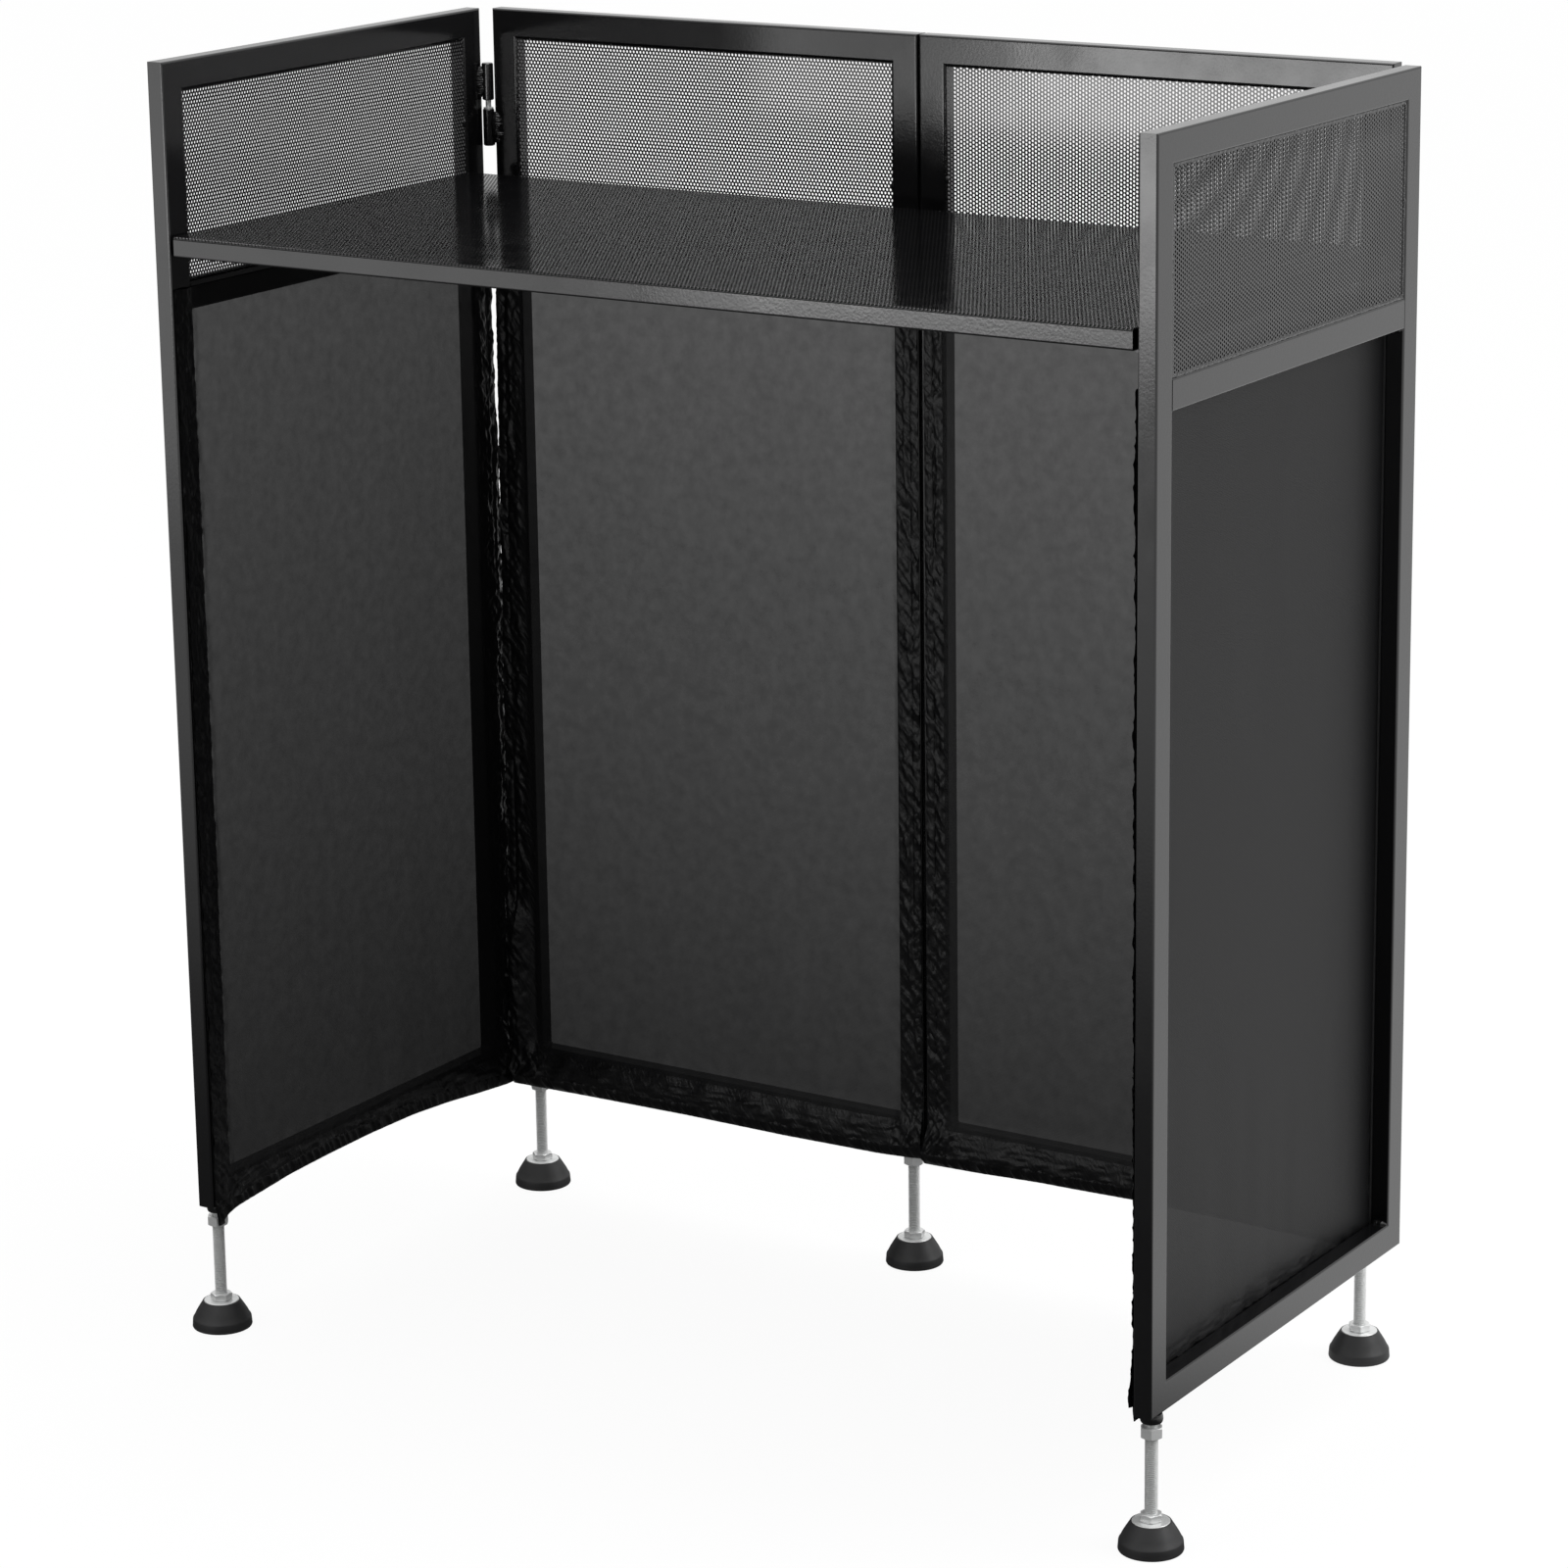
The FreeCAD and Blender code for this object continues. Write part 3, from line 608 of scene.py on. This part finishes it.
def hingeBarrels(node, body, jointName, upper, sideDirection, faceDirection, faceOut, beadAlong, reach=5.0):
    axis = Vector(joints[jointName]["pos_m"])
    low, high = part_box(node)
    r, c, b = hinge["radius"], hinge["chamfer"], hinge["bore"]
    barrels, beads = [], []
    for z0 in (low.z / mm, high.z / mm - hinge["length"]):
        z1 = z0 + hinge["length"]
        if upper:
            under = z1 - hinge["cap"]
            profile = [(b, z0), (r - c, z0), (r, z0 + c), (r, z1 - c), (r - c, z1), (0, z1), (0, under), (b, under)]
        else:
            profile = [(b, z0), (r - c, z0), (r, z0 + c), (r, z1 - c), (r - c, z1), (b, z1)]
        barrels.append(turned(profile, axis.x, axis.y, 48))
        side, face = Vector(sideDirection), Vector(faceDirection)
        foot = axis + side * beadAlong * mm + face * faceOut * mm
        a = foot + Vector((0, 0, (z0 + hinge["beadMargin"]) * mm))
        e = foot + Vector((0, 0, (z1 - hinge["beadMargin"]) * mm))
        beads.append(weldBead(a, e, side, -face, reach * mm, z0, hinge["lumps"], hinge["beadRise"] / reach))
    for kind, parts, material, sharp in (("barrels", barrels, glossEnamel, 40), ("beads", beads, weldEnamel, 60)):
        name = node.replace("knuckles", "hinge_" + kind)
        piece = newPiece(name, *joined(parts), material, body, "black_frame", sharp)
        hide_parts(node)


# start of the node's name, panel, joint, upper barrel, along the face away from the axis, into the face,
# from the axis to the face and to the bead, and how far the bead reaches
for start, panelName, joint, *rest in (
        ("left_corner", "left", "left_corner", True, (0, -1, 0), (-1, 0, 0), 6.0, 4.6),
        ("front_left_corner", "front_left", "left_corner", False, (1, 0, 0), (0, 1, 0), 2.0, 6.4, 8.5),
        ("front_left_centre", "front_left", "centre", False, (-1, 0, 0), (0, -1, 0), 6.0, 3.6),
        ("front_right_centre", "front_right", "centre", True, (1, 0, 0), (0, -1, 0), 6.0, 3.6),
        ("front_right_corner", "front_right", "right_corner", False, (-1, 0, 0), (0, 1, 0), 2.0, 6.4, 8.5),
        ("right_corner", "right", "right_corner", True, (0, -1, 0), (1, 0, 0), 6.0, 4.6)):
    hingeBarrels(start + "_knuckles", panelName + "_panel", joint + "_hinge", *rest)
print("hinges made")


# Feet: threaded stem with a fixed hexagon, lock nut, welded collar, plate and rubber pad
foot = {"pitch": 1.75, "major": 6.0, "minor": 4.95, "turnSteps": 30, "flats": 19.0, "baseNut": 7.0, "plateTop": 28.0,
        "threadLow": 1.0, "threadHigh": 2.5, "tail": 5.9, "tailTip": 5.2, "tipHeight": 0.7, "tailTop": 3.0,
        "lockBore": 6.05, "land": 0.97}
# how far each foot's lock nut and fixed hexagon happen to be turned, in degrees
nutTurns = {"near_left": (33, 5), "far_left": (41, 50), "centre": (22, 12), "far_right": (35, 33),
            "near_right": (28, 28)}
footPanels = {"near_left": "left", "far_left": "front_left", "centre": "front_left", "far_right": "front_right",
              "near_right": "right"}


def threadedRod(x, y, low, high):
    n, p = foot["turnSteps"], foot["pitch"]
    total = round((high - low) / p * n)
    shape = [(0.0, foot["minor"]), (0.16, foot["minor"]), (0.5, foot["major"]), (0.66, foot["major"])]
    m = len(shape)
    verts, faces = [], []
    for k in range(total + 1):
        a = 2 * math.pi * k / n
        runOut = min(1.0, k / n, (total - k) / n)
        for share, r in shape:
            r = foot["minor"] + (r - foot["minor"]) * max(0.0, runOut)
            verts.append((x + r * mm * math.cos(a), y + r * mm * math.sin(a), (low + k * p / n + share * p) * mm))
    for k in range(total):
        for i in range(m):
            a, b = k * m + i, (k + 1) * m + i
            if i < m - 1:
                faces.append((a, b, b + 1, a + 1))
            elif k + n + 1 <= total:
                faces.append((a, b, (k + n + 1) * m, (k + n) * m))
    lowMiddle, highMiddle = len(verts), len(verts) + 1
    verts += [(x, y, low * mm), (x, y, (high + p) * mm)]
    faces += [((k + 1) * m, k * m, lowMiddle) for k in range(n)]
    faces += [(k * m + m - 1, (k + 1) * m + m - 1, highMiddle) for k in range(total - n, total)]
    return verts, faces


def hexNut(x, y, low, high, flats, bore, turn, steps=72):
    # Hexagon with both faces chamfered at 30 degrees, so that its corners are rounded off
    land = flats / 2 * foot["land"]
    rings = []
    for which in range(6):
        ring = []
        for k in range(steps):
            a = 2 * math.pi * k / steps
            edge = flats / 2 / math.cos((a + math.pi / 6) % (math.pi / 3) - math.pi / 6)
            drop = max(0.0, edge - land) * math.tan(math.radians(30))
            r, z = ((bore, low), (land, low), (edge, low + drop),
                    (edge, high - drop), (land, high), (bore, high))[which]
            ring.append((x + r * mm * math.cos(a + turn), y + r * mm * math.sin(a + turn), z * mm))
        rings.append(ring)
    verts = [p for ring in rings for p in ring]
    faces = []
    for q in range(6):
        for k in range(steps):
            m = (k + 1) % steps
            n = (q + 1) % 6
            faces.append((q * steps + k, q * steps + m, n * steps + m, n * steps + k))
    return verts, faces


padProfile = [(0, 0.6), (9, 0.6), (10, 0.0), (28.4, 0.0), (29.5, 0.4), (30.0, 1.4), (29.7, 5.0), (29.4, 8.8),
              (29.1, 9.8), (28.4, 10.6), (25.7, 16.0), (22.7, 21.0), (20.4, 24.6), (19.4, 26.2), (18.9, 27.1),
              (18.3, 27.45), (17.8, 27.5), (17.7, 27.3), (17.7, 26.0), (6.3, 26.0), (6.3, 10.0), (0, 10.0)]
plateProfile = [(6.3, 26.0), (17.2, 26.0), (17.5, 26.3), (17.5, 27.5), (17.2, 27.9), (16.6, 28.0), (11.5, 27.95),
                (6.3, 27.95)]
for name in footPanels:
    x, y, _ = joints[name + "_stem_turn"]["pos_m"]
    pad = newPiece(name + "_foot_pad", *turned(padProfile, x, y, 72), padRubber, name + "_foot", "pad_rubber",
                   sharp=30)
    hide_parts(name + "_pad")
    plate = newPiece(name + "_foot_plate", *turned(plateProfile, x, y, 72), zincPlate, name + "_foot", "zinc_steel",
                     sharp=30)
    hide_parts(name + "_plate")
    low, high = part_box(name + "_stem")
    seat, tip = foot["plateTop"], low.z / mm
    rod = threadedRod(x, y, seat + foot["threadLow"], high.z / mm - foot["threadHigh"])
    tail = turned([(0, tip), (foot["tailTip"], tip), (foot["tail"], tip + foot["tipHeight"]),
                   (foot["tail"], seat + foot["tailTop"]), (0, seat + foot["tailTop"])], x, y, 40)
    nut = hexNut(x, y, seat, seat + foot["baseNut"], foot["flats"], foot["tailTip"],
                 math.radians(nutTurns[name][1]))
    verts, faces = joined([rod, tail, nut])
    stem = newPiece(name + "_foot_stem", verts, faces, zincPlate, name + "_screw", "zinc_steel", sharp=28)
    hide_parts(name + "_stem")
print("pads, plates and stems made")

for panelName in panels:
    ends = [n for n, p in footPanels.items() if p == panelName]
    many = "s" if len(ends) > 1 else ""
    collarNode, nutNode = f"{panelName}_foot_collar{many}", f"{panelName}_lock_nut{many}"
    nutLow, nutHigh = (v.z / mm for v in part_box(nutNode))
    collarLow, collarHigh = (v.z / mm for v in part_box(collarNode))
    collars, nuts = [], []
    for name in ends:
        x, y, _ = joints[name + "_stem_turn"]["pos_m"]
        collars.append(turned([(6.2, collarLow), (8.6, collarLow), (9.6, collarLow + 0.6), (10.2, collarLow + 1.8),
                               (10.5, collarLow + 3.6), (10.4, collarLow + 6.0), (10.0, collarHigh - 1.2),
                               (9.6, collarHigh), (6.2, collarHigh)], x, y, 56))
        nuts.append(hexNut(x, y, nutLow, nutHigh, foot["flats"], foot["lockBore"], math.radians(nutTurns[name][0])))
    body = panels[panelName]["body"]
    collar = newPiece(collarNode.replace("foot", "welded"), *joined(collars), weldEnamel, body, "black_frame",
                      sharp=30)
    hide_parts(collarNode)
    nut = newPiece(nutNode.replace("lock", "locking"), *joined(nuts), zincPlate, body, "zinc_steel", sharp=28)
    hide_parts(nutNode)
print("collars and lock nuts made")


# Scrims: stretched knit on the inner face, folded and sewn round its border. All in mm here:
# hem is (place along the panel, height of the hem), low and high are (height, place) of the two side edges
scrim = {"width": 508, "top": 926.0, "lift": 1.9, "leastLift": 1.4, "hemDepth": 15.5, "sideFold": 10.0,
         "border": 26.0, "tuck": 2, "hemEnds": -16, "hingeLift": 7.8,
         "flare": {"front_left": 6.0, "front_right": 6.0},
         "edgeShares": (0.07, 0.93), "edgeColumns": 26, "columns": 70,
         "hemShare": 0.93, "rows": 370, "hemRows": 46, "hemPoints": 460, "sidePoints": 330}
stitch = {"length": 2.6, "gap": 0.9, "inset": 4, "belowEdge": 1.6, "radius": 0.24, "tip": 0.08,
          "lift": 1.15, "crown": 0.3}
seamLow = [(-30, -1.15), (0, -1.15), (22, 4.2), (926, 4.2)]
seamHigh = [(-30, 509.15), (0, 509.15), (22, 508.2), (926, 508.2)]
upperHinge = [(300, 516.0), (400, 515.4), (470, 514.9), (600, 513.6), (730, 512.6), (830, 510.4), (926, 508.5)]
frontHigh = [(-30, 516.3), (34, 516.3), (50, 515.4), (155, 515.4), (171, 516.3)] + upperHinge
sideHigh = [(-30, 514.8), (50, 514.8), (58, 505.2), (147, 505.2), (155, 514.8)]
sideHigh += [(z, min(u, 514.9)) for z, u in upperHinge]
frontLow, sideLow = ([(z, scrim["width"] - u) for z, u in points] for points in (frontHigh, sideHigh))
cuts = {
    "left": {"low": [(-30, 7), (-16, 6), (-6, 3), (10, 2), (926, 2)], "high": sideHigh,
             "hem": [(0, -20.5), (9, -20.5), (17, -14), (27, -9.5), (45, -7), (85, -4), (120, -1), (180, 0.8),
                     (255, 1.5), (330, -0.2), (392, -5), (449, -11.5), (500, -16.5), (520, -17)]},
    "front_left": {"low": frontLow, "high": seamHigh,
                   "hem": [(-12, -17.7), (88, -16.2), (215, -15.2), (338, -16.0), (455, -14.8), (490, -13),
                           (506, -11.5)]},
    "front_right": {"low": seamLow, "high": frontHigh,
                    "hem": [(0, -16.0), (65, -14.8), (134, -12), (180, -11.5), (245, -10.3), (380, -12), (460, -14),
                            (520, -17)]},
    "right": {"low": sideLow, "high": [(-30, 501), (-8, 502), (0, 505), (926, 506)],
              "hem": [(-12, -16), (60, -10), (170, -3), (300, 0), (420, -2.5), (470, -4), (492, -6), (508, -8)]},
}


def follow(points, at):
    # Smooth run through the points, averaged over 14 mm
    xs, ys = zip(*points)
    at = np.asarray(at, float)
    return sum(np.interp(at + o, xs, ys) for o in (-7, -3.5, 0, 3.5, 7)) / 5


def crease(x, y, seed):
    return 1 - min(1.0, abs(2.2 * noise.noise(Vector((x, y, seed)))))


def fade(value, full, none):
    t = min(1.0, max(0.0, (value - none) / (full - none)))
    return t * t * (3 - 2 * t)


# Folds of the cloth: a base height, then for each layer its height, the slant of its two directions,
# its width and length, how sharp it is and which draw of the noise it takes
folds = {
    "hem": {"base": -0.6, "layers": [(2.8, -0.42, 0.0, 24, 110, 2, 7), (1.3, 0.6, 0.0, 17, 80, 3, 11)]},
    "side": {"base": -0.5, "layers": [(1.4, 0.0, 1.5, 30, 40, 2, 17), (1.1, 0.0, 0.0, 12, 130, 2, 23)]},
    "fine": {"base": 0.3, "layers": [(1.2, 0.8, -0.8, 10, 42, 2, 31), (0.5, -0.9, 0.9, 9, 36, 3, 37),
                                     (-0.8, -0.7, 0.7, 11, 34, 5, 41)]},
}


def foldHeight(kind, u, z, seed, way=1):
    height = folds[kind]["base"]
    for rise, slant, turn, wide, far, sharp, draw in folds[kind]["layers"]:
        height += rise * crease((u + slant * z) / wide, (z + way * turn * u) / far, seed + draw) ** sharp
    return height


def overHinge(name, u, z):
    # On the front panels the cloth runs over the barrels of the lower corner hinge
    if name not in ("front_left", "front_right"):
        return 0.0
    end = u if name == "front_left" else scrim["width"] - u
    return scrim["hingeLift"] * fade(end, 0, 24) * fade(z, 50, 8) * fade(z, 155, 205)


def relief(name, u, z, low, high, hem, seed):
    # How far the cloth stands off the frame's inner face
    tube = panels[name]["tube"] / mm
    left, right, down, up = u - low, high - u, z - hem, scrim["top"] - z
    onPost = max(fade(left, 24, 34), fade(right, 24, 34))
    onRail = max(fade(z, tube - 4, tube + 5), fade(up, 18, 28))
    onFrame = max(onPost, onRail)
    n = scrim["lift"]
    # soft waves where it hangs free
    free = 1 - onFrame
    n += free * (0.9 * noise.noise(Vector((u / 130, z / 210, seed)))
                 + 0.55 * noise.noise(Vector((u / 34, z / 330, seed + 3))) * fade(z, 60, 420) - 0.5)
    # slanting gathers above the hem
    atHem = fade(down, 12, 62)
    n += atHem * foldHeight("hem", u, z, seed)
    # drawn-in folds down the sides
    side = min(left, right)
    atSide = fade(side, 8, 36) * (1 - 0.6 * atHem)
    n += atSide * foldHeight("side", side, z, seed, 1 if left < right else -1)
    n -= 0.5 * math.exp(-((side - scrim["sideFold"]) / 1.6) ** 2)
    # folds fanning out of the lower corners
    corner = math.hypot(side, down)
    fan = fade(corner, 18, 75) * fade(corner, 14, 4)
    if fan > 0:
        n += fan * (2.6 * crease(3.4 * math.atan2(down, max(side, 0.1)), corner / 90, seed + 43) ** 2 - 0.3)
    # fine slanting crinkles all round the border
    fine = max(fade(side, 18, 32), fade(down, 30, 50))
    if fine > 0:
        n += fine * foldHeight("fine", u, z, seed)
    # gathered by the hem, it stands out from the lower rail
    n += scrim["flare"].get(name, 0.0) * fade(down, 14, 62)
    return max(n, scrim["leastLift"]) + overHinge(name, u, z)


# Folded bands: the section is (share across, thickness); then the gathers' width, slant and height, how strong
# they are at the hem and at the sides, and the slow swell
band = {"section": [(1.0, 0.55), (0.94, 1.0), (0.7, 1.25), (0.4, 1.3), (0.15, 1.1), (0.0, 0.55), (0.12, 0.1),
                    (0.5, 0.0), (1.0, 0.0)],
        "gather": 7, "slant": 8, "rise": 1.9, "atHem": 1.2, "atSide": 0.75,
        "swell": 0.6, "swellWidth": 22, "sink": 0.05, "thinnest": 0.25}


def foldedBand(name, edge, inner, puckerSeed, gather, flare=0.0):
    # A strip of knit turned over: edge and inner are matching rows of (u, z), with the fold at edge
    rings = []
    length = 0.0
    for k, (outer, root) in enumerate(zip(edge, inner)):
        if k:
            length += math.dist(edge[k - 1], outer)
        swell = band["swell"] * noise.noise(Vector((length / band["swellWidth"], 1.3, puckerSeed))) - band["swell"]
        ring = []
        for across, thick in band["section"]:
            u = outer[0] + (root[0] - outer[0]) * across
            z = outer[1] + (root[1] - outer[1]) * across
            # slanting gathers, deepest in the middle of the band
            place = (length + band["slant"] * across) / band["gather"]
            pucker = swell + band["rise"] * crease(place, 0.3, puckerSeed) ** 2
            deep = 0.3 + 3.2 * across * (1 - across)
            lift = scrim["leastLift"] - band["sink"] + thick * max(band["thinnest"], 1.0 + gather * pucker * deep)
            lift += flare * (1 - 0.85 * (1 - across) ** 2)
            ring.append(onPanel(panels[name], u * mm, z * mm, (lift + overHinge(name, u, z)) * mm))
        rings.append(ring)
    return wrap(rings)


for order, (name, cut) in enumerate(cuts.items()):
    panel = panels[name]
    body = panel["body"]
    seed = 31.0 * order + 5.5
    # close columns over the posts and close rows over the lower rail, wider ones between
    first, last = scrim["edgeShares"]
    edges = np.linspace(0, first, scrim["edgeColumns"])
    shares = np.concatenate([edges[:-1], np.linspace(first, last, scrim["columns"]), 1 - edges[::-1][1:]])
    columns = len(shares) - 1
    drops = np.concatenate([np.linspace(0, scrim["hemShare"], scrim["rows"])[:-1],
                            np.linspace(scrim["hemShare"], 1, scrim["hemRows"])])
    rows = len(drops) - 1
    # the cloth's own outline first, then its relief
    verts, faces, flat = [], [], []
    for j in range(rows + 1):
        t = float(drops[j])
        zLine = scrim["top"] * (1 - t)
        lowU, highU = float(follow(cut["low"], zLine)), float(follow(cut["high"], zLine))
        u = lowU + (highU - lowU) * shares
        hem = follow(cut["hem"], u)
        z = scrim["top"] - (scrim["top"] - (hem + scrim["hemDepth"] - scrim["tuck"])) * t
        for i in range(columns + 1):
            n = relief(name, u[i], z[i], lowU, highU, hem[i], seed)
            verts.append(onPanel(panel, u[i] * mm, z[i] * mm, n * mm))
            flat.append((u[i], z[i]))
    w = columns + 1
    overFrame = []
    for j in range(rows):
        for i in range(columns):
            a = j * w + i
            uMid, zMid = (flat[a][0] + flat[a + 1][0]) / 2, (flat[a][1] + flat[a + w][1]) / 2
            edgeU = min(uMid, scrim["width"] - uMid)
            (overFrame if min(edgeU, zMid) < scrim["border"] else faces).append((a + w, a + w + 1, a + 1, a))
    cloth = newPiece(name + "_scrim_cloth", *usedOnly(verts, faces), scrimKnit, body, "scrim_cloth", sharp=180)
    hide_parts(name + "_scrim")
    edging = newPiece(name + "_scrim_edging", *usedOnly(verts, overFrame), hemKnit, body, "scrim_cloth", sharp=180)
    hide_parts(name + "_scrim")

    # folded borders: hem along the bottom, a narrow fold up each side
    lowU, highU = (float(follow(cut[key], scrim["hemEnds"])) for key in ("low", "high"))
    us = np.linspace(lowU, highU, scrim["hemPoints"])
    hem = follow(cut["hem"], us)
    flare = scrim["flare"].get(name, 0.0)
    inner = hem + scrim["hemDepth"]
    bands = [foldedBand(name, list(zip(us, hem)), list(zip(us, inner)), seed + 40, band["atHem"], flare)]
    for key, sign in (("low", 1), ("high", -1)):
        u0 = follow(cut[key], 0.0)
        zs = np.linspace(float(follow(cut["hem"], u0)) + 1.0, scrim["top"], scrim["sidePoints"])
        edge = follow(cut[key], zs)
        inner = edge + sign * scrim["sideFold"]
        bands.append(foldedBand(name, list(zip(edge, zs)), list(zip(inner, zs)), seed + 50 + sign, band["atSide"]))
    border = newPiece(name + "_scrim_hem", *joined(bands), hemKnit, body, "scrim_cloth", sharp=70)

    # lock stitches along the hem
    threads = []
    place = lowU + stitch["inset"]
    while place < highU - stitch["inset"]:
        a, b = place, place + stitch["length"]
        rings = []
        for s in (0.0, 0.18, 0.5, 0.82, 1.0):
            u = a + (b - a) * s
            z = float(follow(cut["hem"], u)) + scrim["hemDepth"] - stitch["belowEdge"]
            r = stitch["radius"] if 0 < s < 1 else stitch["tip"]
            rise = scrim["leastLift"] + stitch["lift"] + flare + stitch["crown"] * math.sin(math.pi * s)
            rings.append([onPanel(panel, u * mm, (z + r * math.cos(q)) * mm, (rise + r * math.sin(q)) * mm)
                          for q in (0.0, 1.57, 3.14, 4.71)])
        threads.append(wrap(rings))
        place = b + stitch["gap"]
    stitches = newPiece(name + "_scrim_stitches", *joined(threads), sewingThread, body, "scrim_cloth", sharp=70)
    print(cloth.name, len(cloth.data.polygons), "faces,", len(threads), "stitches")
